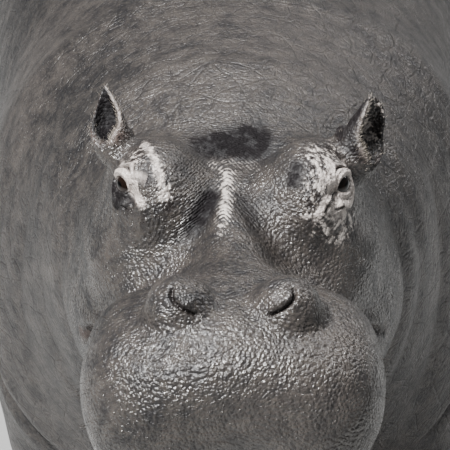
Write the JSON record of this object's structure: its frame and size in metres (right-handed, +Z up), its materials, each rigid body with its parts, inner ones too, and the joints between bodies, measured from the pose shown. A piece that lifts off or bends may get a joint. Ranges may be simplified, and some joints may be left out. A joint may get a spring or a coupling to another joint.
{
  "type": "hippopotamus",
  "caption": "Adult common hippopotamus at life size, standing still on four feet with its head held level and its mouth shut.",
  "frame": {"origin": "on the floor, under the centre of the animal's bounding box", "axes": "+Z up, nose towards -Y, the animal's left side towards +X"},
  "size_m": [1.0538, 3.1582, 1.5642],
  "materials": {
    "hide": "bare, finely cracked hide, half wet, pinkish round the eyes",
    "eyeball": "wet gloss",
    "nail": "dull horn"
  },
  "bodies": {
    "root": {"head": "hide", "lower_jaw": "hide", "ear_left": "hide", "ear_right": "hide", "eye_left": "eyeball", "eye_right": "eyeball", "neck": "hide", "trunk": "hide", "tail": "hide", "leg_front_left": "hide", "leg_front_right": "hide", "leg_hind_left": "hide", "leg_hind_right": "hide", "foot_front_left": "hide", "foot_front_right": "hide", "foot_hind_left": "hide", "foot_hind_right": "hide", "toenail_front_left_1": "nail", "toenail_front_left_2": "nail", "toenail_front_left_3": "nail", "toenail_front_left_4": "nail", "toenail_front_right_1": "nail", "toenail_front_right_2": "nail", "toenail_front_right_3": "nail", "toenail_front_right_4": "nail", "toenail_hind_left_1": "nail", "toenail_hind_left_2": "nail", "toenail_hind_left_3": "nail", "toenail_hind_left_4": "nail", "toenail_hind_right_1": "nail", "toenail_hind_right_2": "nail", "toenail_hind_right_3": "nail", "toenail_hind_right_4": "nail"}
  },
  "joints": []
}
